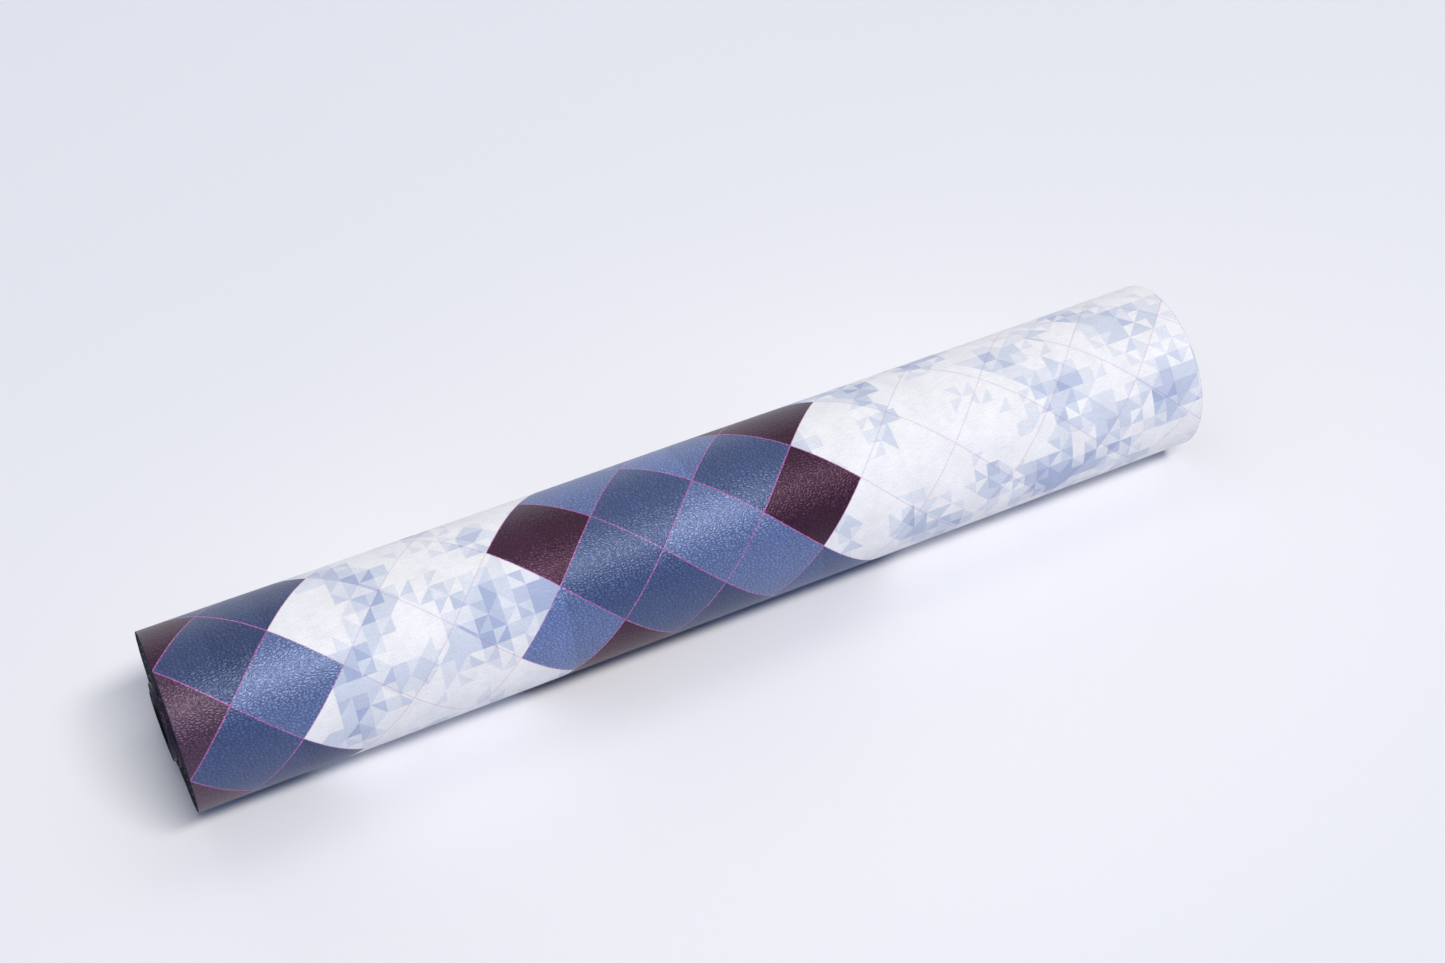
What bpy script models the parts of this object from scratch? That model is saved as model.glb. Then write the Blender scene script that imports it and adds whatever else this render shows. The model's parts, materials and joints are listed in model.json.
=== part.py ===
"""A yoga mat, rolled up and lying on its side, at its real size in metres.

The mat is one sheet of two bonded layers, a rubber base and a printed top. It is wound
into a spiral about an axis along X, with the printed top outwards, and stands on Z = 0.
The outermost turn is divided into curved panels. Each panel is hinged to the one before
it along its printed edge, so the turn opens forwards until it lies flat on the floor.

An angle here is measured round the roll's axis, from the front (-Y) up to the top (+Z)
and on to the back. It runs on from turn to turn, so it also says which turn is meant.
"""

import math

import bmesh
import bpy

# Units
MM = 0.001
DEGREE = math.pi / 180
TURN = 360 * DEGREE

# The mat laid flat
MAT_WIDTH = 610 * MM
MAT_LENGTH = 1830 * MM

# The sheet's layers, from the inside of the roll outwards
BASE_THICKNESS = 2.7 * MM
BOND_GAP = 0.3 * MM
TOP_THICKNESS = 0.6 * MM

# The winding
EYE_RADIUS = 11.5 * MM
TURN_GAP = 0.3 * MM
REST_FLAT_DEPTH = 0.5 * MM

# The turns that stand out of the roll's left end, and the turns over which they come out
BUNDLE_PROUD = 0.6 * MM
BUNDLE_TURNS = (1.0, 1.5)
CORE_PROUD = 3.0 * MM
CORE_TURNS = (5.4, 7.9)

# The outermost turn, in panels
PANELS = 9
PANEL_ANGLE = 30 * DEGREE
PANEL_FACETS = 4
HINGE_GAP = 0.3 * MM

# Finishes: colour, roughness
RUBBER_BLACK = ((0.013, 0.013, 0.016), 0.86)
PRINTED_BLUE = ((0.105, 0.148, 0.302), 0.55)
SMOOTH_BELOW = 40 * DEGREE

# Values that follow from those above
SHEET_THICKNESS = BASE_THICKNESS + BOND_GAP + TOP_THICKNESS
PITCH = SHEET_THICKNESS + TURN_GAP
FACET_ANGLE = PANEL_ANGLE / PANEL_FACETS
BOTTOM = -TURN / 4
FIRST_HINGE = BOTTOM + PANEL_ANGLE / 2
FREE_EDGE = FIRST_HINGE + PANELS * PANEL_ANGLE


def wound_angle(length):
    """The angle through which a sheet of this length winds round the eye of the roll."""
    first_radius = EYE_RADIUS + SHEET_THICKNESS / 2
    growth = PITCH / TURN
    return (math.sqrt(first_radius**2 + 2 * growth * length) - first_radius) / growth


INNER_EDGE = FREE_EDGE - wound_angle(MAT_LENGTH)


def printed_radius(angle):
    """The radius of the printed face before the roll's weight flattens it."""
    return EYE_RADIUS + SHEET_THICKNESS + PITCH * (angle - INNER_EDGE) / TURN


REST_HEIGHT = printed_radius(BOTTOM) - REST_FLAT_DEPTH


def kept_share(angle):
    """The share of its radius that every turn keeps, which is less than 1 over the floor."""
    from_bottom = math.remainder(angle - BOTTOM, TURN)
    drop = printed_radius(BOTTOM + from_bottom) * math.cos(from_bottom)
    return REST_HEIGHT / drop if drop > REST_HEIGHT else 1.0


def corner(angle, depth):
    """Where a face that lies this deep under the printed face has a corner, as (y, z)."""
    radius = (printed_radius(angle) - depth) * kept_share(angle)
    return -radius * math.cos(angle), radius * math.sin(angle)


def corner_angle(number):
    """The angle of a corner. Number 0 follows the facet that the roll stands on."""
    return BOTTOM + (number + 0.5) * FACET_ANGLE


def point_on_face(angle, depth):
    """The point of a face at any angle, on the straight line between two corners."""
    after = math.ceil((angle - BOTTOM) / FACET_ANGLE - 0.5)
    share = (angle - corner_angle(after - 1)) / FACET_ANGLE
    y_before, z_before = corner(corner_angle(after - 1), depth)
    y_after, z_after = corner(corner_angle(after), depth)
    return y_before + (y_after - y_before) * share, z_before + (z_after - z_before) * share


def stops(start, end):
    """The angles at which a strip from start to end has an edge across the sheet."""
    first = math.floor((start - BOTTOM) / FACET_ANGLE + 0.5)
    last = math.ceil((end - BOTTOM) / FACET_ANGLE - 0.5)
    between = [corner_angle(number) for number in range(first, last)]
    least = FACET_ANGLE / 8
    return [start, *(a for a in between if start + least < a < end - least), end]


def eased(value, limits):
    """0 below the limits, 1 above them, and an even S between them."""
    share = min(1, max(0, (value - limits[0]) / (limits[1] - limits[0])))
    return share * share * (3 - 2 * share)


def proud(angle):
    """How far the sheet stands out of the roll's left end."""
    turns_in = (FREE_EDGE - angle) / TURN
    return BUNDLE_PROUD * eased(turns_in, BUNDLE_TURNS) + CORE_PROUD * eased(turns_in, CORE_TURNS)


def roll_centre():
    """Where the roll's axis is, so that the origin is under the middle of the whole roll."""
    outermost = [corner(angle, 0)[0] for angle in stops(FREE_EDGE - TURN, FREE_EDGE)]
    return (BUNDLE_PROUD + CORE_PROUD) / 2, -(min(outermost) + max(outermost)) / 2, REST_HEIGHT


def swept_sheet(start, end, depth, origin):
    """An open sheet: an edge across the mat, swept from one angle to another."""
    sheet = bmesh.new()

    def place(vert, side, angle):
        y, z = point_on_face(angle, depth)
        vert.co = (side * MAT_WIDTH / 2 - proud(angle), y - origin[0], z - origin[1])

    angles = stops(start, end)
    left, right = sheet.verts.new(), sheet.verts.new()
    place(left, -1, start)
    place(right, 1, start)
    edge = sheet.edges.new((left, right))
    for angle in angles[1:]:
        swept = bmesh.ops.extrude_edge_only(sheet, edges=[edge])["geom"]
        edge = next(part for part in swept if isinstance(part, bmesh.types.BMEdge))
        for vert in edge.verts:
            place(vert, math.copysign(1, vert.co.x), angle)
    bmesh.ops.reverse_faces(sheet, faces=sheet.faces)
    return sheet


def solid_from(sheet, name, thickness):
    """A mesh made by thickening an open sheet inwards, towards the roll's axis."""
    mesh = bpy.data.meshes.new(name)
    sheet.to_mesh(mesh)
    sheet.free()
    shell = bpy.data.objects.new(name + "_sheet", mesh)
    bpy.context.scene.collection.objects.link(shell)
    wall = shell.modifiers.new("wall", "SOLIDIFY")
    wall.thickness = thickness
    wall.offset = -1
    wall.use_even_offset = True
    wall.use_quality_normals = True
    solid = bpy.data.meshes.new_from_object(
        shell.evaluated_get(bpy.context.evaluated_depsgraph_get())
    )
    bpy.data.objects.remove(shell)
    bpy.data.meshes.remove(mesh)
    solid.shade_smooth()
    solid.set_sharp_from_angle(angle=SMOOTH_BELOW)
    return solid


def finish(name, colour, roughness):
    """A plain material."""
    material = bpy.data.materials.new(name)
    material.use_nodes = True
    shader = material.node_tree.nodes["Principled BSDF"]
    shader.inputs["Base Color"].default_value = (*colour, 1)
    shader.inputs["Roughness"].default_value = roughness
    shader.inputs["Metallic"].default_value = 0
    return material


def add_layers(collection, parent, names, start, end, origin):
    """The base and the top of the sheet between two angles, as two objects on one parent."""
    layers = (
        (names[0], BASE_THICKNESS, TOP_THICKNESS + BOND_GAP, RUBBER_BLACK),
        (names[1], TOP_THICKNESS, 0, PRINTED_BLUE),
    )
    for name, thickness, depth, (colour, roughness) in layers:
        solid = solid_from(swept_sheet(start, end, depth, origin), name, thickness)
        solid.name = name
        solid.materials.append(finish(name, colour, roughness))
        layer = bpy.data.objects.new(name, solid)
        layer.parent = parent
        collection.objects.link(layer)


def add_pivot(collection, name, parent, location):
    """An empty that carries what turns with it."""
    pivot = bpy.data.objects.new(name, None)
    pivot.parent = parent
    pivot.location = location
    pivot.empty_display_size = SHEET_THICKNESS
    collection.objects.link(pivot)
    return pivot


def add_roll(collection):
    """The inner turns, and the part of the outermost turn that the roll stands on."""
    axis = add_pivot(collection, "roll_axis", None, roll_centre())
    gap = HINGE_GAP / 2 / printed_radius(FIRST_HINGE)
    names = ("rolled_base", "rolled_top")
    add_layers(collection, axis, names, INNER_EDGE, FIRST_HINGE - gap, (0, 0))
    return axis


def add_outer_turn(collection, axis):
    """The panels of the outermost turn, each carried by the one before it."""
    parent, held_at = axis, (0, 0)
    for number in range(1, PANELS + 1):
        start = FIRST_HINGE + (number - 1) * PANEL_ANGLE
        end = start + PANEL_ANGLE
        hinge = point_on_face(start, 0)
        gap = HINGE_GAP / 2 / printed_radius(start)
        step = (0, hinge[0] - held_at[0], hinge[1] - held_at[1])
        parent = add_pivot(collection, f"hinge_{number}", parent, step)
        names = (f"outer_turn_base_{number}", f"outer_turn_top_{number}")
        last = end if number == PANELS else end - gap
        add_layers(collection, parent, names, start + gap, last, hinge)
        held_at = hinge


def main():
    for leftover in list(bpy.data.objects):
        bpy.data.objects.remove(leftover)
    collection = bpy.data.collections.new("yoga_mat")
    bpy.context.scene.collection.children.link(collection)
    axis = add_roll(collection)
    add_outer_turn(collection, axis)


main()
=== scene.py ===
"""A rolled yoga mat as it looks: its two bonded layers, their finishes and a pale studio.

The mat is wound into a spiral about an axis along X, printed face outwards. An angle is
measured round that axis, from the front (-Y) up to the top (+Z) and on to the back, and it
runs on from turn to turn. A depth is measured from the printed face towards the axis, and a
place across the mat from its middle towards the roll's right end (+X).
"""

import json
import math

import bpy
import numpy as np
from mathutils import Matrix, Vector


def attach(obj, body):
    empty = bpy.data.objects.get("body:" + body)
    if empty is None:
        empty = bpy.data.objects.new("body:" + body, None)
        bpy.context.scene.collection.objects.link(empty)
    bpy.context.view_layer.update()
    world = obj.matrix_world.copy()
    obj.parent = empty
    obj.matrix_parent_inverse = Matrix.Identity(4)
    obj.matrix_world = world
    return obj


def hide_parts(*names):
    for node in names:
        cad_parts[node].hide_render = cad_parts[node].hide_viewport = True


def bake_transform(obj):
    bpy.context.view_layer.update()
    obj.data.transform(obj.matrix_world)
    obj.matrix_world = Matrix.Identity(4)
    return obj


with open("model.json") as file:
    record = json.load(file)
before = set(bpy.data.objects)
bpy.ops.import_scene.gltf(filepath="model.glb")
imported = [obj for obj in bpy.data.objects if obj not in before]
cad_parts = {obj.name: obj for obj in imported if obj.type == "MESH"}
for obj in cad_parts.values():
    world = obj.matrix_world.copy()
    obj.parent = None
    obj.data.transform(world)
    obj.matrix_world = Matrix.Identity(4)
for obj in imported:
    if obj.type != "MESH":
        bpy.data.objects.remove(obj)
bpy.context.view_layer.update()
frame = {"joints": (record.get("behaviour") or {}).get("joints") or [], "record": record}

bl_info = {
    "name": "Rolled yoga mat",
    "version": (1, 0, 0),
    "blender": (4, 5, 0),
    "location": "3D View > Sidebar > Yoga mat",
    "description": "Builds a printed natural-rubber yoga mat, rolled up on a studio floor",
    "category": "Object",
}

# Units
MM = 0.001
DEGREE = math.pi / 180
TURN = 360 * DEGREE

# The angle at which the roll rests on the floor
BOTTOM = -90 * DEGREE

# The turns, counted from the free edge, over which the sheet comes out of the roll's left end
# or is drawn in from it
FRONT_TURNS = (1.3, 0.8)
BUNDLE_TURNS = (1.0, 1.5)
CORE_TURNS = (5.4, 7.9)
UNEVEN_TURNS = (0.0, 1.5)
SLACK_TURNS = (1.0, 1.45)

# The angles at which the outermost turn is pushed furthest to the left, and is loosest
PUSHED_AT = 25 * DEGREE
LOOSEST_AT = -20 * DEGREE

# The rubber all but touches the printed top, so the bond between them is drawn this thin
BOND_FILM = 0.02 * MM

# The meshes: their columns of corners, in millimetres in from the mat's rounded edge, the
# angle between two rows, the narrow row that ends a piece at a seam, and the steps of a rounding
COLUMNS = (0, 0.5, 1.4, 3, 6, 11, 18, 28, 42, 60, 80, 105, 135, 170, 205, 240, 275)
INNER_STEP = 5 * DEGREE
OUTER_STEP = 2.5 * DEGREE
SEAM_ROW = 0.2 * MM
ROUNDING_STEPS = 3
SMOOTH_BELOW = 40 * DEGREE
FLAT_MAP = "flat"

# The print: the noise above which a diamond is dark, and above which a dark one is slate
DARK_ABOVE = 0.54
SLATE_ABOVE = 0.55

# The print's finish, with the painted shade and painted light of its grain, first in the pale zones
# and then in the dark ones
LINE_STRENGTH = (0.25, 0.95)
# Shares of the ink's tone: painted shade in the grain's valleys, painted light on its tops
VALLEY_PAINTED_SHADE = (0.97, 0.55)
SUMMIT_PAINTED_LIGHT = (1.03, 1.23)
GRAIN_STRENGTH = (0.55, 0.85)
ROUGHNESS = (0.55, 0.38)
SHINE = (0.22, 1.0)

# The studio, in metres and watts: the floor's side, and each softbox's place, size and power
FLOOR_SIDE = 12
SOFTBOXES = (
    ("main_softbox", (0.5, -2.0, 3.76), (2.5, 0.8), 150.0),
    ("top_softbox", (0.2, 0.6, 1.7), (1.4, 0.6), 4.0),
)


def linear(code):
    """An sRGB hex colour as linear red, green and blue."""
    channels = [int(code[i : i + 2], 16) / 255 for i in (1, 3, 5)]
    return tuple(c / 12.92 if c <= 0.04045 else ((c + 0.055) / 1.055) ** 2.4 for c in channels)


def eased(value, start, end):
    """0 before the start, 1 after the end, and an even S between them."""
    share = np.clip((value - start) / (end - start), 0, 1)
    return share * share * (3 - 2 * share)


def length_property(name, description, default):
    """A setting that is a length in metres."""
    return bpy.props.FloatProperty(
        name=name, description=description, default=default, unit="LENGTH", precision=5
    )


def colour_property(name, description, code):
    """A setting that is a colour, whose default is an sRGB hex code."""
    return bpy.props.FloatVectorProperty(
        name=name, description=description, default=linear(code), subtype="COLOR", min=0, max=1
    )


class MatSizes(bpy.types.PropertyGroup):
    """The mat's sizes, flat and wound."""

    width: length_property("Width", "Width of the mat, which is the roll's length", 610 * MM)
    length: length_property("Length", "Length of the mat laid flat", 1830 * MM)
    base: length_property("Rubber", "Thickness of the rubber base", 2.7 * MM)
    bond: length_property("Bond", "Space kept between the layers for their bond", 0.3 * MM)
    top: length_property("Top", "Thickness of the printed top", 0.6 * MM)
    eye_radius: length_property("Eye radius", "Radius of the open eye of the roll", 11.5 * MM)
    turn_gap: length_property("Turn gap", "Air between one turn and the next", 0.3 * MM)
    rest_depth: length_property("Flattening", "How far the roll's weight flattens it", 0.5 * MM)
    bundle_proud: length_property(
        "Bundle proud", "How far the inner turns stand out of the left end", 0.6 * MM
    )
    core_proud: length_property(
        "Core proud", "How much further the innermost turns stand out", 3.0 * MM
    )
    front_proud: length_property(
        "Front proud", "How far the outermost turn is pushed to the left at the front", 1.4 * MM
    )
    unevenness: length_property(
        "Unevenness", "How far a turn's ends stray from the turn beside it", 0.15 * MM
    )
    loose_gap: length_property(
        "Loose gap", "How far the outermost turn stands off the bundle at the left end", 1.8 * MM
    )
    loose_reach: length_property("Loose reach", "How far along the roll that gap reaches", 90 * MM)
    undulation: length_property(
        "Undulation", "How far the roll's surface strays from a true spiral", 0.16 * MM
    )
    edge_rounding: length_property("Edge rounding", "Radius on the cut edges", 0.18 * MM)
    panel_angle: bpy.props.FloatProperty(
        name="Panel angle",
        description="Angle between two hinges of the outermost turn",
        default=30 * DEGREE,
        subtype="ANGLE",
    )


class PrintLook(bpy.types.PropertyGroup):
    """The print's lattice, and the colours of the mat."""

    diamond: length_property("Diamond", "Width and length of one diamond of the lattice", 60 * MM)
    line_width: length_property("Line width", "Width of the thin lines", 0.65 * MM)
    tile: length_property("Tile", "Short side of the small triangles in the pale zones", 8 * MM)
    lattice_shift: bpy.props.FloatVectorProperty(
        name="Lattice shift",
        description="Moves the lattice over the mat, in sides of a diamond",
        default=(0.0, 0.167, 0.0),
        subtype="XYZ",
    )
    zone_shift: bpy.props.FloatVectorProperty(
        name="Zone shift",
        description="Moves the dark and the pale zones about the mat",
        default=(6.66, 34.38, 0.0),
        subtype="XYZ",
    )
    grain: length_property("Grain", "Size of the embossed leather grain", 1.4 * MM)
    plum: colour_property("Plum", "Darkest diamonds", "#361A2D")
    plum_grey: colour_property("Plum grey", "Greyed diamonds", "#4A3449")
    dark_slate: colour_property("Dark slate", "Dark blue diamonds", "#354268")
    slate: colour_property("Slate", "Blue diamonds", "#42527D")
    light_slate: colour_property("Light slate", "Lighter blue diamonds", "#6072A3")
    periwinkle: colour_property("Periwinkle", "Motifs in the pale zones", "#AAB6D4")
    pale: colour_property("Pale", "Pale diamonds", "#D1D7E6")
    near_white: colour_property("Near white", "Ground of the pale zones", "#F0EFF2")
    line: colour_property("Line", "Thin lines of the lattice", "#B868AE")
    textile_edge: colour_property("Textile edge", "Cut edge of the printed top", "#2C3654")
    rubber: colour_property("Rubber", "Rubber base", "#0E0F13")


class StudioLook(bpy.types.PropertyGroup):
    """The floor, the lamps and the camera."""

    floor: colour_property("Floor", "Seamless paper that the roll lies on", "#F0F0F4")
    horizon: colour_property("Horizon", "White that the paper runs out to", "#E2E5F0")
    haze: bpy.props.FloatProperty(
        name="Haze",
        description="Share of that white in the paper round the roll, as the camera sees it",
        default=0.6,
        subtype="FACTOR",
        min=0,
        max=1,
    )
    lamp: colour_property("Lamp", "Colour of the softboxes", "#FFFBF4")
    air: colour_property("Air", "Colour of the even light from the front", "#9AC2FF")
    air_behind: colour_property("Air behind", "Colour of the even light from behind", "#DFE3ED")
    ambient: bpy.props.FloatProperty(
        name="Ambient", description="Strength of the even light all round", default=0.3, min=0
    )
    backdrop: bpy.props.FloatProperty(
        name="Backdrop", description="Strength of the white wall behind", default=1.9, min=0
    )
    lens: bpy.props.FloatProperty(
        name="Lens", description="Focal length", default=56.65, min=1, unit="CAMERA"
    )
    camera: bpy.props.FloatVectorProperty(
        name="Camera",
        description="Where the camera stands",
        default=(-0.3651, -0.7775, 0.98625),
        subtype="XYZ",
        unit="LENGTH",
    )
    aim: bpy.props.FloatVectorProperty(
        name="Aim",
        description="Tilt and turn of the camera",
        default=(43.73 * DEGREE, 0, -26.193 * DEGREE),
        subtype="EULER",
        unit="ROTATION",
    )


class Winding:
    """The spiral in which the mat is wound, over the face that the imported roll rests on."""

    def __init__(self, sizes):
        self.sizes = sizes
        self.thickness = sizes.base + sizes.bond + sizes.top
        self.growth = (self.thickness + sizes.turn_gap) / TURN
        self.first_radius = sizes.eye_radius + self.thickness / 2
        self.first_hinge = BOTTOM + sizes.panel_angle / 2
        self.free_edge = self.first_hinge + len(frame["joints"]) * sizes.panel_angle
        self.inner_edge = self.free_edge - self.wound_angle(sizes.length)
        self.rest_height = self.printed_radius(BOTTOM) - sizes.rest_depth
        mounts = frame["record"]["mounts"]
        x, y, _ = next(mount["pos_m"] for mount in mounts if mount["name"] == "resting_flat")
        self.centre = Vector((x, y, self.rest_height))

    def wound_angle(self, length):
        """The angle through which this length winds, from the mat's inner edge."""
        first, growth = self.first_radius, self.growth
        return (math.sqrt(first**2 + 2 * growth * length) - first) / growth

    def length_at(self, angle):
        """How far along the mat an angle is, from the mat's inner edge."""
        turned = angle - self.inner_edge
        return self.first_radius * turned + self.growth * turned**2 / 2

    def printed_radius(self, angle):
        """The radius of the printed face before the roll's weight flattens it."""
        return self.sizes.eye_radius + self.thickness + self.growth * (angle - self.inner_edge)

    def kept_share(self, angle):
        """The share of its radius that every turn keeps, which is less than 1 over the floor."""
        from_bottom = np.remainder(angle - BOTTOM + TURN / 2, TURN) - TURN / 2
        drop = self.printed_radius(BOTTOM + from_bottom) * np.cos(from_bottom)
        return np.where(drop > self.rest_height, self.rest_height / drop, 1.0)

    def proud(self, angle):
        """How far the sheet stands out of the roll's left end."""
        turns_in = (self.free_edge - angle) / TURN
        facing = 0.5 + 0.5 * np.cos(angle - PUSHED_AT)
        # Two waves out of step with the turns, so that no turn ends like the one beside it
        uneven = np.sin(0.83 * angle + 1.0) + 0.6 * np.sin(2.1 * angle)
        return (
            self.sizes.front_proud * facing * eased(turns_in, *FRONT_TURNS)
            + self.sizes.bundle_proud * eased(turns_in, *BUNDLE_TURNS)
            + self.sizes.core_proud * eased(turns_in, *CORE_TURNS)
            + self.sizes.unevenness * uneven * eased(turns_in, *UNEVEN_TURNS)
        )

    def slack(self, angle, across):
        """How far the inner turns are drawn in at the left end, most at the front and below."""
        turns_in = (self.free_edge - angle) / TURN
        from_left = across + self.sizes.width / 2
        facing = 0.5 + 0.5 * np.cos(angle - LOOSEST_AT)
        reach = eased(from_left, self.sizes.loose_reach, 0)
        return self.sizes.loose_gap * facing * reach * eased(turns_in, *SLACK_TURNS)

    def stray(self, angle, across):
        """Shallow waves in the roll's surface, which die out towards the floor.

        They swell and fade about every 195 mm along the roll and turn as they go.
        """
        along = np.sin(across / (31 * MM) + 1.7 * np.sin(angle))
        around = np.sin(2 * angle + across / (83 * MM))
        return self.sizes.undulation * along * around * eased(np.sin(angle), -0.8, 0.3)

    def point(self, angle, across, depth):
        """Where the sheet is, for angles, places across the mat and depths."""
        radius = (self.printed_radius(angle) - depth) * self.kept_share(angle)
        radius = radius - self.slack(angle, across) - self.stray(angle, across)
        x = self.centre.x + across - self.proud(angle)
        y = self.centre.y - radius * np.cos(angle)
        z = self.centre.z + radius * np.sin(angle)
        return np.stack(np.broadcast_arrays(x, y, z), axis=-1)


def cross_section(width, outer, inner, rounding):
    """One layer's outline, cut across: places across, depths, and which sides are cut edges."""
    half = width / 2 - rounding
    right = half - MM * np.array(COLUMNS)
    columns = np.concatenate([-right, [0], right[::-1]])
    arc = np.linspace(0, 90 * DEGREE, ROUNDING_STEPS + 1)[1:]
    out, down = rounding * np.sin(arc), rounding * (1 - np.cos(arc))
    rim = half + np.concatenate([out, out[::-1]])
    rim_depth = np.concatenate([outer + down, inner - down[::-1]])
    across = np.concatenate([columns, rim, columns[::-1], -rim[::-1]])
    faces = np.full(len(columns), outer), rim_depth, np.full(len(columns), inner), rim_depth[::-1]
    depth = np.concatenate(faces)
    middle = (across + np.roll(across, -1)) / 2
    return across, depth, (np.abs(middle) > half).astype(int)


def rows_along(winding, limits, step, rounded, rounding):
    """The angles of a layer's rows, and how far each is set in to round off a cut end."""
    ends = []
    for limit, is_round in zip(limits, rounded):
        if is_round:
            arc = np.linspace(0, 90 * DEGREE, ROUNDING_STEPS + 1)
            back, inset = rounding * (1 - np.sin(arc)), rounding * (1 - np.cos(arc))
        else:
            back, inset = np.array([SEAM_ROW, 0]), np.zeros(2)
        ends.append((back / winding.printed_radius(limit), inset))
    (back_0, inset_0), (back_1, inset_1) = ends
    count = max(3, round((limits[1] - limits[0]) / step))
    between = np.linspace(limits[0] + back_0[0], limits[1] - back_1[0], count)[1:-1]
    angles = np.concatenate([limits[0] + back_0[::-1], between, limits[1] - back_1])
    return angles, np.concatenate([inset_0[::-1], np.zeros(len(between)), inset_1])


def wound_layer(name, winding, limits, depths, step, materials, rounded=(False, False)):
    """One layer of the mat between two angles: a closed mesh that keeps the flat mat's map."""
    outer, inner = depths
    rounding = min(winding.sizes.edge_rounding, (inner - outer) / 3)
    across, depth, cut = cross_section(winding.sizes.width, outer, inner, rounding)
    angles, insets = rows_along(winding, limits, step, rounded, rounding)
    set_in = np.clip(depth, outer + insets[:, None], inner - insets[:, None])
    points = winding.point(angles[:, None], across[None, :], set_in)
    rows, ring = points.shape[:2]
    index = np.arange(rows * ring).reshape(rows, ring)
    beside = np.roll(index, -1, axis=1)
    quads = np.stack([index[:-1], beside[:-1], beside[1:], index[1:]], axis=-1).reshape(-1, 4)
    mesh = bpy.data.meshes.new(name)
    caps = [index[0][::-1].tolist(), index[-1].tolist()]
    mesh.from_pydata(points.reshape(-1, 3).tolist(), [], quads.tolist() + caps)

    # The flat map, in metres: how far along the mat and how far across it. The cut edges and
    # the other face follow on from the printed one, as if the layer's skin were unwrapped
    lengths = winding.length_at(angles)
    steps = np.hypot(np.diff(across, append=across[0]), np.diff(depth, append=depth[0]))
    girth = across[0] + np.concatenate([[0], np.cumsum(steps)])
    corners = np.empty((rows - 1, ring, 4, 2))
    for corner, (row, column) in enumerate(((0, 0), (0, 1), (1, 1), (1, 0))):
        corners[:, :, corner, 0] = lengths[row : rows - 1 + row, None]
        corners[:, :, corner, 1] = girth[None, column : ring + column]
    first_cap = np.stack([lengths[0] - depth, across], axis=-1)[::-1]
    last_cap = np.stack([lengths[-1] + depth, across], axis=-1)
    flat = mesh.uv_layers.new(name=FLAT_MAP)
    values = np.concatenate([corners.reshape(-1, 2), first_cap, last_cap])
    flat.data.foreach_set("uv", values.astype(np.float32).ravel())

    slots = np.concatenate([np.tile(cut, rows - 1), [1, 1]])
    mesh.polygons.foreach_set("material_index", slots.astype(np.int32))
    for material in materials:
        mesh.materials.append(material)
    mesh.shade_smooth()
    mesh.set_sharp_from_angle(angle=SMOOTH_BELOW)
    piece = bpy.data.objects.new(name, mesh)
    bpy.context.scene.collection.objects.link(piece)
    return piece


def add(tree, kind, *inputs, **named):
    """Adds a shader node. Its inputs come in order or by capitalised name, its settings by name."""
    node = tree.nodes.new("ShaderNode" + kind)
    for name, value in named.items():
        if name[0].islower():
            setattr(node, name, value)
    shown = [socket for socket in node.inputs if socket.enabled]
    filled = list(zip(shown, inputs))
    for name, value in named.items():
        if name[0].isupper():
            filled.append((next(socket for socket in shown if socket.name == name), value))
    for socket, value in filled:
        if isinstance(value, bpy.types.Node):
            value = next(output for output in value.outputs if output.enabled)
        if isinstance(value, bpy.types.NodeSocket):
            tree.links.new(value, socket)
        else:
            socket.default_value = value
    return node


def new_material(name):
    """A new material, its node tree and its shader."""
    material = bpy.data.materials.new(name)
    material.use_nodes = True
    return material, material.node_tree, material.node_tree.nodes["Principled BSDF"]


def leather_grain(tree, flat, size):
    """The height of an embossed leather grain: flat-topped cells, drawn out along the roll.

    A real grain is a little finer. It is drawn as coarse as it needs to be to show.
    """
    wander = add(tree, "TexNoise", flat, Scale=0.35 / size, Detail=1.0, noise_dimensions="2D")
    push = (1.6 * size,) * 3
    pushed = add(
        tree, "VectorMath", wander.outputs["Color"], push, flat, operation="MULTIPLY_ADD"
    )
    drawn = add(tree, "Mapping", pushed, Scale=(1.0 / size, 0.6 / size, 1))
    cells = add(
        tree, "TexVoronoi", drawn, Scale=1.0, feature="DISTANCE_TO_EDGE", voronoi_dimensions="2D"
    )
    tops = add(tree, "MapRange", cells, 0.0, 0.46, 0.0, 1.0, interpolation_type="SMOOTHSTEP")
    fine = add(tree, "TexNoise", drawn, Scale=1.3, Detail=2.0, noise_dimensions="2D")
    return add(tree, "Math", fine, 0.8, tops, operation="MULTIPLY_ADD")


def banded(tree, value, stops):
    """A colour for each band of a value, with hard edges between the bands."""
    ramp = add(tree, "ValToRGB", value)
    ramp.color_ramp.interpolation = "CONSTANT"
    while len(ramp.color_ramp.elements) < len(stops):
        ramp.color_ramp.elements.new(1)
    for element, (position, colour) in zip(ramp.color_ramp.elements, stops):
        element.position = position
        element.color = (*colour, 1)
    return ramp


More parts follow.
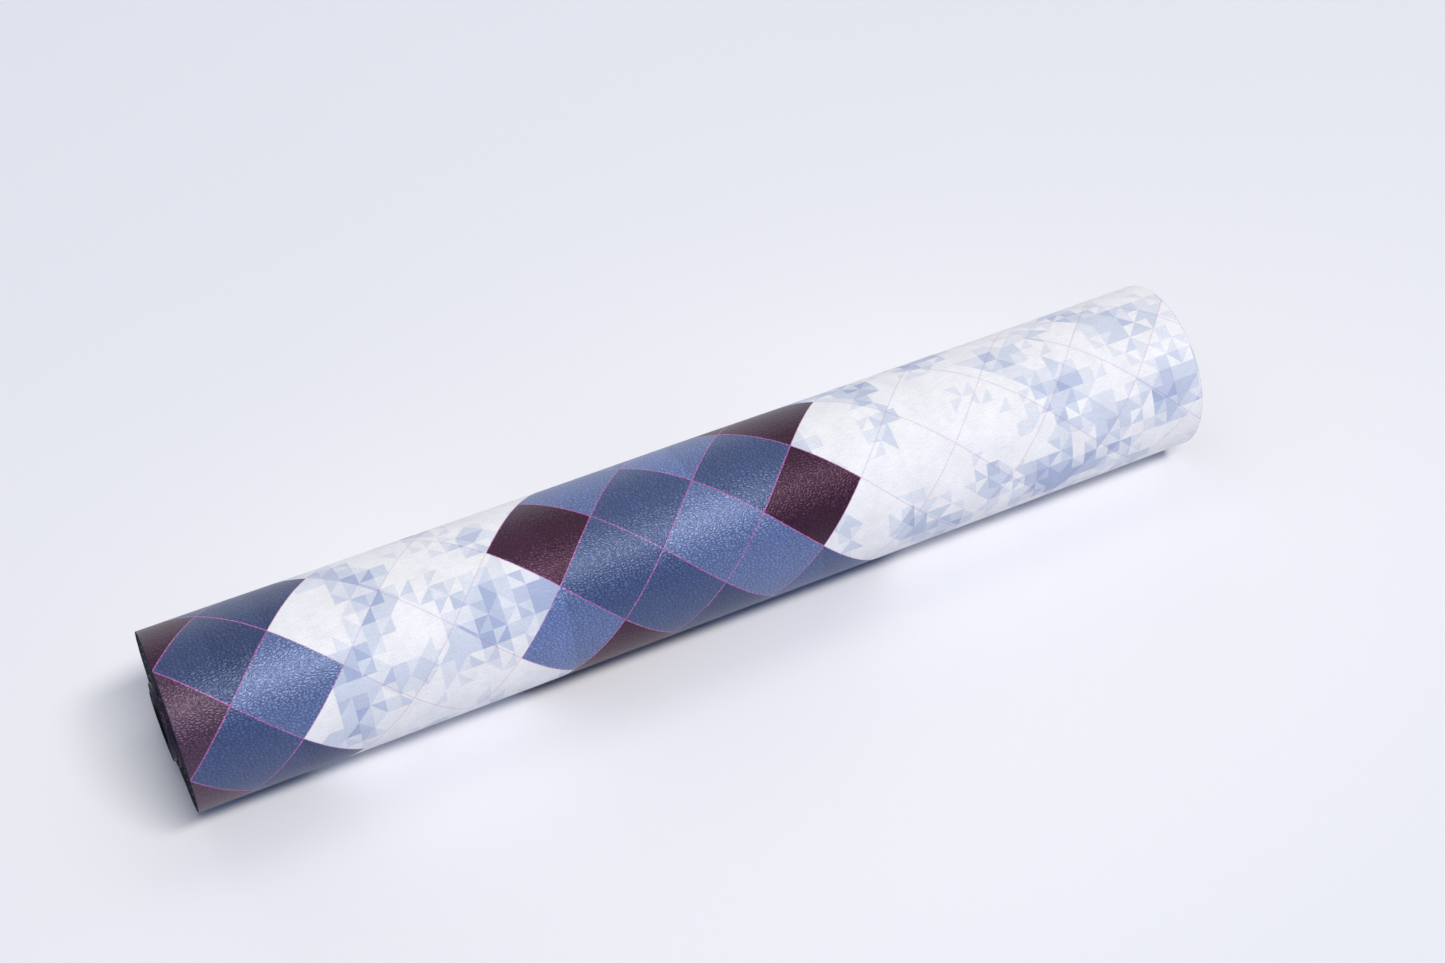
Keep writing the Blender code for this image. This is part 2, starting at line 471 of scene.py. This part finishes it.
def dark_diamonds(tree, look, place, across, chances):
    """Plum and slate diamonds, which keep together in groups, and plum along the left edge, printed
    dark so that it also paints the shade in the roll's left end.

    The slate ones grow lighter from the left edge to the middle of the mat.
    """
    plums = banded(tree, chances[0], ((0, look.plum), (0.6, look.plum_grey)))
    lightness = add(tree, "MapRange", across, -250 * MM, 50 * MM, -0.25, 0.25)
    lightness = add(tree, "Math", chances[0], lightness, operation="ADD")
    slates = banded(
        tree, lightness, ((0, look.dark_slate), (0.35, look.slate), (0.7, look.light_slate))
    )

    # The groups are about 120 mm across, and more of them are slate from -120 mm leftwards
    groups, shift = (8.0, 9.0, 0), (3.7, 1.2, 0)
    spread = add(tree, "VectorMath", place, groups, shift, operation="MULTIPLY_ADD")
    group = add(tree, "TexNoise", spread, Scale=1.0, Detail=0.0, noise_dimensions="2D")
    jittered = add(tree, "Math", chances[1], 0.2, group, operation="MULTIPLY_ADD")
    leftward = add(tree, "MapRange", across, -120 * MM, -220 * MM, 0.0, 0.3)
    jittered = add(tree, "Math", jittered, leftward, operation="ADD")
    is_slate = add(tree, "Math", jittered, SLATE_ABOVE, operation="GREATER_THAN")
    # Plum along the left edge: print, made dark so that it paints the shade in the roll's left end
    inside = add(tree, "Math", across, -285 * MM, operation="GREATER_THAN")
    is_slate = add(tree, "Math", is_slate, inside, operation="MULTIPLY")
    return add(tree, "Mix", is_slate, plums, slates, data_type="RGBA")


def pale_mosaic(tree, look, flat, chances):
    """Small triangles in whites and pale blues, which gather into lighter and darker drifts."""
    # Square tiles, each cut into two triangles by a diagonal that turns from tile to tile
    place = add(tree, "VectorMath", flat, (1 / look.tile,) * 3, operation="MULTIPLY")
    tile = add(tree, "VectorMath", place, operation="FLOOR")
    parts = add(tree, "SeparateXYZ", place)
    folded = [add(tree, "Math", parts.outputs[i], 1.0, operation="PINGPONG") for i in (0, 1)]
    half = add(tree, "Math", *folded, operation="GREATER_THAN")
    chance = add(tree, "TexWhiteNoise", tile, half, noise_dimensions="4D")

    # The drifts are about five tiles across
    drift = add(tree, "TexNoise", tile, Scale=0.21, Detail=1.0, noise_dimensions="2D")
    drift = add(tree, "Math", drift, 1.5, -0.54, operation="MULTIPLY_ADD")
    tone = add(tree, "Math", chance, 0.36, drift, operation="MULTIPLY_ADD")
    tone = add(tree, "Math", chances[2], 0.3, tone, operation="MULTIPLY_ADD")
    soft_white = tuple((a + b) / 2 for a, b in zip(look.near_white, look.pale))
    soft_blue = tuple((a + b) / 2 for a, b in zip(look.pale, look.periwinkle))
    return banded(
        tree,
        tone,
        (
            (0, look.near_white),
            (0.57, soft_white),
            (0.7, look.pale),
            (0.85, soft_blue),
            (0.97, look.periwinkle),
        ),
    )


def printed_microfibre(look):
    """Microfibre bonded to a thin polyurethane film, printed by heat transfer and embossed.

    A diamond lattice with thin lines. Zones of plum and slate diamonds alternate with pale
    zones of small triangles. The film gives a satin band of light that the grain breaks up,
    and the fibre a soft bloom where the surface turns away.
    """
    material, tree, shader = new_material("printed_microfibre")
    flat = add(tree, "UVMap", uv_map=FLAT_MAP)

    # The lattice stands on its corners, and each diamond has three chances of its own
    lattice_scale = math.sqrt(2) / look.diamond
    lattice = add(
        tree,
        "Mapping",
        flat,
        Location=look.lattice_shift,
        Rotation=(0, 0, 45 * DEGREE),
        Scale=(lattice_scale,) * 3,
    )
    cell = add(tree, "VectorMath", lattice, operation="FLOOR")
    chance = add(tree, "TexWhiteNoise", cell, noise_dimensions="2D")
    chances = add(tree, "SeparateColor", chance.outputs["Color"]).outputs
    place = add(
        tree, "Mapping", cell, Rotation=(0, 0, -45 * DEGREE), Scale=(1 / lattice_scale,) * 3
    )

    # Dark and pale zones, about 450 mm along the mat and 180 mm across it. The left edge is dark,
    # which paints the shade in the roll's left end where the inner turns stand out
    zones = (2.2, 5.6, 0)
    spread = add(tree, "VectorMath", place, zones, look.zone_shift, operation="MULTIPLY_ADD")
    zone = add(tree, "TexNoise", spread, Scale=1.0, Detail=0.0, noise_dimensions="2D")
    jittered = add(tree, "Math", chances[2], 0.1, zone, operation="MULTIPLY_ADD")
    across = add(tree, "SeparateXYZ", place).outputs[1]
    # Painted shade: the print turns dark towards the left edge, which lies in the shaded left end
    # of the roll
    painted_shade_border = add(tree, "MapRange", across, -220 * MM, -300 * MM, 0.0, 0.3)
    jittered = add(tree, "Math", jittered, painted_shade_border, operation="ADD")
    is_dark = add(tree, "Math", jittered, DARK_ABOVE, operation="GREATER_THAN")
    pale = pale_mosaic(tree, look, flat, chances)
    dark = dark_diamonds(tree, look, place, across, chances)
    ground = add(tree, "Mix", is_dark, pale, dark, data_type="RGBA")

    # Some diamonds have one half a tone lighter
    inside = add(tree, "SeparateXYZ", add(tree, "VectorMath", lattice, operation="FRACTION"))
    half = add(tree, "Math", inside.outputs[0], inside.outputs[1], operation="GREATER_THAN")
    has_halves = add(tree, "Math", chances[1], 0.6, operation="LESS_THAN")
    lighter = add(tree, "Math", half, has_halves, operation="MULTIPLY")
    lighter = add(tree, "Math", lighter, is_dark, operation="MULTIPLY")
    half_tone = add(tree, "Math", lighter, 0.2, 0.97, operation="MULTIPLY_ADD")

    # Thin lines along the diamonds' sides, fainter over the pale zones
    sides = add(tree, "SeparateXYZ", lattice)
    nearness = [add(tree, "Math", sides.outputs[i], 0.5, operation="PINGPONG") for i in (0, 1)]
    nearest = add(tree, "Math", *nearness, operation="MINIMUM")
    half_line = look.line_width / 2 * lattice_scale
    line = add(tree, "MapRange", nearest, half_line * 0.7, half_line * 1.3, 1.0, 0.0)
    strength = add(tree, "MapRange", is_dark, 0.0, 1.0, *LINE_STRENGTH)
    line_amount = add(tree, "Math", line, strength, operation="MULTIPLY")

    # The ink lies a little thinner here and there, and follows the ribs of the fibre, which
    # are drawn coarser than they are because they are too fine to show
    mottle = add(
        tree, "TexNoise", flat, Scale=0.055 / MM, Detail=6.0, Roughness=0.65, noise_dimensions="2D"
    )
    ribbed = add(tree, "VectorMath", flat, (1.7 / MM, 0.16 / MM, 0), operation="MULTIPLY")
    ribs = add(tree, "TexNoise", ribbed, Scale=1.0, Detail=2.0, noise_dimensions="2D")
    ink_and_painted_shade = add(tree, "MapRange", mottle, 0.25, 0.75, 0.93, 1.05)
    rib_ink = add(tree, "MapRange", ribs, 0.25, 0.75, 0.95, 1.05)
    ink_and_painted_shade = add(tree, "Math", ink_and_painted_shade, rib_ink, operation="MULTIPLY")
    ink_and_painted_shade = add(tree, "Math", ink_and_painted_shade, half_tone, operation="MULTIPLY")

    # Painted shade and painted light: the grain's valleys, at 0.3, are painted darker and its tops,
    # at 1.3, lighter, most of all in the dark zones
    grain = leather_grain(tree, flat, look.grain)
    valley_painted_shade = add(tree, "MapRange", is_dark, 0.0, 1.0, *VALLEY_PAINTED_SHADE)
    summit_painted_light = add(tree, "MapRange", is_dark, 0.0, 1.0, *SUMMIT_PAINTED_LIGHT)
    painted_grain_shade = add(tree, "MapRange", grain, 0.3, 1.3, valley_painted_shade, summit_painted_light)
    ink_and_painted_shade = add(tree, "Math", ink_and_painted_shade, painted_grain_shade, operation="MULTIPLY")
    lined = add(tree, "Mix", line_amount, ground, (*look.line, 1), data_type="RGBA")
    # The base colour carries the ink and the painted shade and light of the grain
    printed_with_painted_shade = add(tree, "HueSaturation", Value=ink_and_painted_shade, Color=lined)
    depth = add(tree, "MapRange", is_dark, 0.0, 1.0, *GRAIN_STRENGTH)
    relief = add(tree, "Bump", depth, Distance=0.13 * MM, Height=grain)

    # The dark ink is glossier, and the light that it throws back keeps some of its hue
    roughness = add(tree, "MapRange", is_dark, 0.0, 1.0, *ROUGHNESS)
    shine = add(tree, "MapRange", is_dark, 0.0, 1.0, *SHINE)
    glint = add(tree, "Gamma", ground.outputs[2], 0.42)
    tree.links.new(shine.outputs[0], shader.inputs["Specular IOR Level"])
    tree.links.new(glint.outputs[0], shader.inputs["Specular Tint"])
    tree.links.new(printed_with_painted_shade.outputs[0], shader.inputs["Base Color"])
    tree.links.new(roughness.outputs[0], shader.inputs["Roughness"])
    tree.links.new(relief.outputs[0], shader.inputs["Normal"])
    shader.inputs["IOR"].default_value = 1.65
    shader.inputs["Sheen Weight"].default_value = 0.06
    shader.inputs["Sheen Roughness"].default_value = 0.5
    shader.inputs["Sheen Tint"].default_value = (*look.near_white, 1)
    return material


def textile_cut_edge(look):
    """The cut edge of the microfibre, dyed through by the ink: short, matt, blue-grey fibre.

    The fibre is too fine to show and is drawn coarser.
    """
    material, tree, shader = new_material("textile_cut_edge")
    flat = add(tree, "UVMap", uv_map=FLAT_MAP)
    fibre = add(tree, "TexNoise", flat, Scale=1.9 / MM, Detail=4.0, noise_dimensions="2D")
    tone = add(tree, "MapRange", fibre, 0.3, 0.7, 0.6, 1.5)
    colour = add(tree, "HueSaturation", Value=tone, Color=(*look.textile_edge, 1))
    relief = add(tree, "Bump", Strength=1.0, Distance=0.1 * MM, Height=fibre)
    tree.links.new(colour.outputs[0], shader.inputs["Base Color"])
    tree.links.new(relief.outputs[0], shader.inputs["Normal"])
    shader.inputs["Roughness"].default_value = 0.9
    shader.inputs["Specular IOR Level"].default_value = 0.2
    shader.inputs["Sheen Weight"].default_value = 0.1
    return material


def moulded_rubber(look):
    """Moulded natural rubber, matt black, with a shallow grid that grips the floor.

    Its pores are too fine to show and are drawn coarser.
    """
    material, tree, shader = new_material("moulded_rubber")
    flat = add(tree, "UVMap", uv_map=FLAT_MAP)
    pad = 2.4 * MM
    grid = add(tree, "VectorMath", flat, (1 / pad,) * 3, operation="MULTIPLY")
    parts = add(tree, "SeparateXYZ", grid)
    ridges = [add(tree, "Math", parts.outputs[i], 0.5, operation="PINGPONG") for i in (0, 1)]
    pads = add(tree, "Math", *ridges, operation="MINIMUM")
    raised = add(tree, "MapRange", pads, 0.02, 0.2, 0.0, 1.0, interpolation_type="SMOOTHSTEP")
    pores = add(tree, "TexNoise", flat, Scale=1.5 / MM, Detail=3.0, noise_dimensions="2D")
    height = add(tree, "Math", pores, 0.5, raised, operation="MULTIPLY_ADD")
    tone = add(tree, "MapRange", pores, 0.3, 0.7, 0.8, 1.25)
    colour = add(tree, "HueSaturation", Value=tone, Color=(*look.rubber, 1))
    relief = add(tree, "Bump", Strength=1.0, Distance=0.12 * MM, Height=height)
    tree.links.new(colour.outputs[0], shader.inputs["Base Color"])
    tree.links.new(relief.outputs[0], shader.inputs["Normal"])
    shader.inputs["Roughness"].default_value = 0.82
    shader.inputs["IOR"].default_value = 1.52
    return material


def cut_rubber(look):
    """Natural rubber foam cut by a blade: matt black, pitted by the cells that the cut opens.

    The cells are too fine to show and are drawn coarser.
    """
    material, tree, shader = new_material("cut_rubber")
    flat = add(tree, "UVMap", uv_map=FLAT_MAP)
    cells = add(tree, "TexVoronoi", flat, Scale=2.2 / MM, voronoi_dimensions="2D")
    rough = add(tree, "TexNoise", flat, Scale=0.9 / MM, Detail=4.0, noise_dimensions="2D")
    height = add(tree, "Math", cells, rough, operation="ADD")
    tone = add(tree, "MapRange", height, 0.4, 1.2, 0.5, 1.1)
    colour = add(tree, "HueSaturation", Value=tone, Color=(*look.rubber, 1))
    relief = add(tree, "Bump", Strength=1.0, Distance=0.15 * MM, Height=height)
    tree.links.new(colour.outputs[0], shader.inputs["Base Color"])
    tree.links.new(relief.outputs[0], shader.inputs["Normal"])
    shader.inputs["Roughness"].default_value = 0.92
    shader.inputs["IOR"].default_value = 1.52
    shader.inputs["Specular IOR Level"].default_value = 0.12
    return material


def layers_of_mat(context):
    """Each layer: what its pieces are called, its CAD nodes, its slot, depths and materials."""
    sizes, look = context.scene.yoga_mat_sizes, context.scene.yoga_mat_print
    rubber_depths = (sizes.top + BOND_FILM, sizes.base + sizes.bond + sizes.top)
    print_face, print_edge, rubber_face, rubber_edge = (
        bpy.data.materials.get(maker.__name__) or maker(look)
        for maker in (printed_microfibre, textile_cut_edge, moulded_rubber, cut_rubber)
    )
    return (
        ("print", "top", "printed_top", (0, sizes.top), (print_face, print_edge)),
        ("rubber", "base", "rubber_base", rubber_depths, (rubber_face, rubber_edge)),
    )


class YOGAMAT_OT_inner_turns(bpy.types.Operator):
    """Builds the inner turns, down to where the roll rests on the floor"""

    bl_idname = "yoga_mat.inner_turns"
    bl_label = "Inner turns"

    def execute(self, context):
        winding = Winding(context.scene.yoga_mat_sizes)
        limits = (winding.inner_edge, BOTTOM)
        for word, node, slot, depths, materials in layers_of_mat(context):
            piece = wound_layer(
                f"rolled_{word}", winding, limits, depths, INNER_STEP, materials, (True, False)
            )
            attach(piece, "roll")
            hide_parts(f"rolled_{node}")
        return {"FINISHED"}


class YOGAMAT_OT_outer_turn(bpy.types.Operator):
    """Builds the outermost turn in strips that meet at its hinges, and its free edge"""

    bl_idname = "yoga_mat.outer_turn"
    bl_label = "Outermost turn"

    def execute(self, context):
        winding = Winding(context.scene.yoga_mat_sizes)
        half = winding.sizes.panel_angle / 2
        bodies = ["roll"] + [joint["child"] for joint in frame["joints"]]
        for word, node, slot, depths, materials in layers_of_mat(context):
            for number in range(1, len(bodies) + 1):
                hinge = winding.first_hinge + (number - 1) * 2 * half
                is_last = number == len(bodies)
                limits = (hinge - half, hinge if is_last else hinge + half)
                name = f"free_edge_{word}" if is_last else f"outer_turn_{word}_{number}"
                piece = wound_layer(
                    name, winding, limits, depths, OUTER_STEP, materials, (False, is_last)
                )
                if is_last:
                    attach(piece, bodies[-1])
                else:
                    seams = [winding.point(limit, 0, winding.thickness) for limit in limits]
                    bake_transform(piece)
                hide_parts(f"outer_turn_{node}_{min(number, len(bodies) - 1)}")
        return {"FINISHED"}


def studio_paper(look):
    """Seamless background paper: matt, faintly toothed, its white a little uneven.

    Its tooth is too fine to show and is drawn coarser.
    """
    material, tree, shader = new_material("studio_paper")
    place = add(tree, "TexCoord").outputs["Object"]
    cloud = add(tree, "TexNoise", place, Scale=1.3, Detail=2.0)
    tone = add(tree, "MapRange", cloud, 0.3, 0.7, 0.985, 1.015)
    colour = add(tree, "HueSaturation", Value=tone, Color=(*look.floor, 1))
    tooth = add(tree, "TexNoise", place, Scale=0.9 / MM, Detail=2.0)
    relief = add(tree, "Bump", Strength=0.3, Distance=0.05 * MM, Height=tooth)
    tree.links.new(colour.outputs[0], shader.inputs["Base Color"])
    tree.links.new(relief.outputs[0], shader.inputs["Normal"])
    shader.inputs["Roughness"].default_value = 0.75
    shader.inputs["Specular IOR Level"].default_value = 0.3

    # The camera sees the paper as it is lit near the roll, so with its shadows, and sees more
    # and more of an even white from there to the horizon
    far = add(tree, "VectorMath", place, operation="LENGTH")
    far = add(tree, "MapRange", far, 1.2, 4.5, look.haze, 1.0, interpolation_type="SMOOTHSTEP")
    half_length, half_width = 0.9, 0.5
    spread = add(tree, "Mapping", place, Scale=(1 / half_length, 1 / half_width, 1))
    pool = add(tree, "TexGradient", spread, gradient_type="SPHERICAL")
    haze = add(tree, "MapRange", pool, 0.75, 0.1, 0.0, far, interpolation_type="SMOOTHSTEP")
    path = add(tree, "LightPath")
    white = add(tree, "Emission", (*look.horizon, 1), 1.0)
    seen = add(tree, "Math", path.outputs["Is Camera Ray"], haze, operation="MULTIPLY")
    mix = add(tree, "MixShader", seen, shader.outputs[0], white)
    tree.links.new(mix.outputs[0], tree.nodes["Material Output"].inputs["Surface"])
    return material


def studio_air(look):
    """The light all round: bluish in front, paler behind, and a white wall furthest back.

    The camera doesn't see any of it, but the white that the paper runs out to.
    """
    world = bpy.data.worlds.new("studio_air")
    world.use_nodes = True
    tree = world.node_tree
    even = tree.nodes["Background"]
    even.inputs["Strength"].default_value = look.ambient
    backward = add(tree, "SeparateXYZ", add(tree, "TexCoord").outputs["Generated"]).outputs[1]
    turned = add(tree, "MapRange", backward, -0.4, 0.4, 0.0, 1.0)
    hue = add(tree, "Mix", turned, (*look.air, 1), (*look.air_behind, 1), data_type="RGBA")
    tree.links.new(hue.outputs[2], even.inputs["Color"])
    behind = add(
        tree, "MapRange", backward, 0.7, 0.97, 0.0, 1.0, interpolation_type="SMOOTHSTEP"
    )
    wall = add(tree, "Background", (*look.horizon, 1), look.backdrop)
    lit = add(tree, "MixShader", behind, even, wall)
    seen = add(tree, "Background", (*look.horizon, 1), 1.0)
    path = add(tree, "LightPath")
    mix = add(tree, "MixShader", path.outputs["Is Camera Ray"], lit, seen)
    tree.links.new(mix.outputs[0], tree.nodes["World Output"].inputs["Surface"])
    return world


class YOGAMAT_OT_stage(bpy.types.Operator):
    """Lays the pale floor and sets the lamps, the even light all round and the camera"""

    bl_idname = "yoga_mat.stage"
    bl_label = "Studio"

    def execute(self, context):
        look = context.scene.yoga_mat_studio
        bpy.ops.mesh.primitive_plane_add(size=FLOOR_SIDE, location=(0, 0, 0))
        floor = context.active_object
        floor.name = "studio_floor"
        floor.data.materials.append(studio_paper(look))

        for name, place, size, watts in SOFTBOXES:
            lamp = bpy.data.lights.new(name, "AREA")
            lamp.shape = "RECTANGLE"
            lamp.size, lamp.size_y = size
            lamp.energy = watts
            lamp.color = look.lamp
            box = bpy.data.objects.new(name, lamp)
            box.location = place
            box.rotation_euler = Vector(place).to_track_quat("Z", "Y").to_euler()
            context.scene.collection.objects.link(box)

        context.scene.world = studio_air(look)

        camera = bpy.data.objects.new("camera", bpy.data.cameras.new("camera"))
        camera.data.lens = look.lens
        camera.location = look.camera
        camera.rotation_euler = look.aim
        context.scene.collection.objects.link(camera)
        context.scene.camera = camera
        context.scene.view_settings.view_transform = "Standard"
        return {"FINISHED"}


class YOGAMAT_PT_sidebar(bpy.types.Panel):
    """Lists the mat's builders and its settings"""

    bl_label = "Yoga mat"
    bl_idname = "YOGAMAT_PT_sidebar"
    bl_space_type = "VIEW_3D"
    bl_region_type = "UI"
    bl_category = "Yoga mat"

    def draw(self, context):
        for operator in OPERATORS:
            self.layout.operator(operator.bl_idname)
        for name in GROUPS:
            column = self.layout.column(align=True)
            group = getattr(context.scene, name)
            for key in group.bl_rna.properties.keys():
                if key not in {"rna_type", "name"}:
                    column.prop(group, key)


OPERATORS = (YOGAMAT_OT_stage, YOGAMAT_OT_inner_turns, YOGAMAT_OT_outer_turn)
GROUPS = {
    "yoga_mat_sizes": MatSizes,
    "yoga_mat_print": PrintLook,
    "yoga_mat_studio": StudioLook,
}


def register():
    for name, group in GROUPS.items():
        bpy.utils.register_class(group)
        setattr(bpy.types.Scene, name, bpy.props.PointerProperty(type=group))
    for kind in (*OPERATORS, YOGAMAT_PT_sidebar):
        bpy.utils.register_class(kind)


def unregister():
    for kind in (YOGAMAT_PT_sidebar, *reversed(OPERATORS)):
        bpy.utils.unregister_class(kind)
    for name, group in reversed(GROUPS.items()):
        delattr(bpy.types.Scene, name)
        bpy.utils.unregister_class(group)


def main():
    """Builds the studio and the mat."""
    register()
    bpy.ops.yoga_mat.stage()
    bpy.ops.yoga_mat.inner_turns()
    bpy.ops.yoga_mat.outer_turn()


if __name__ == "__main__":
    main()
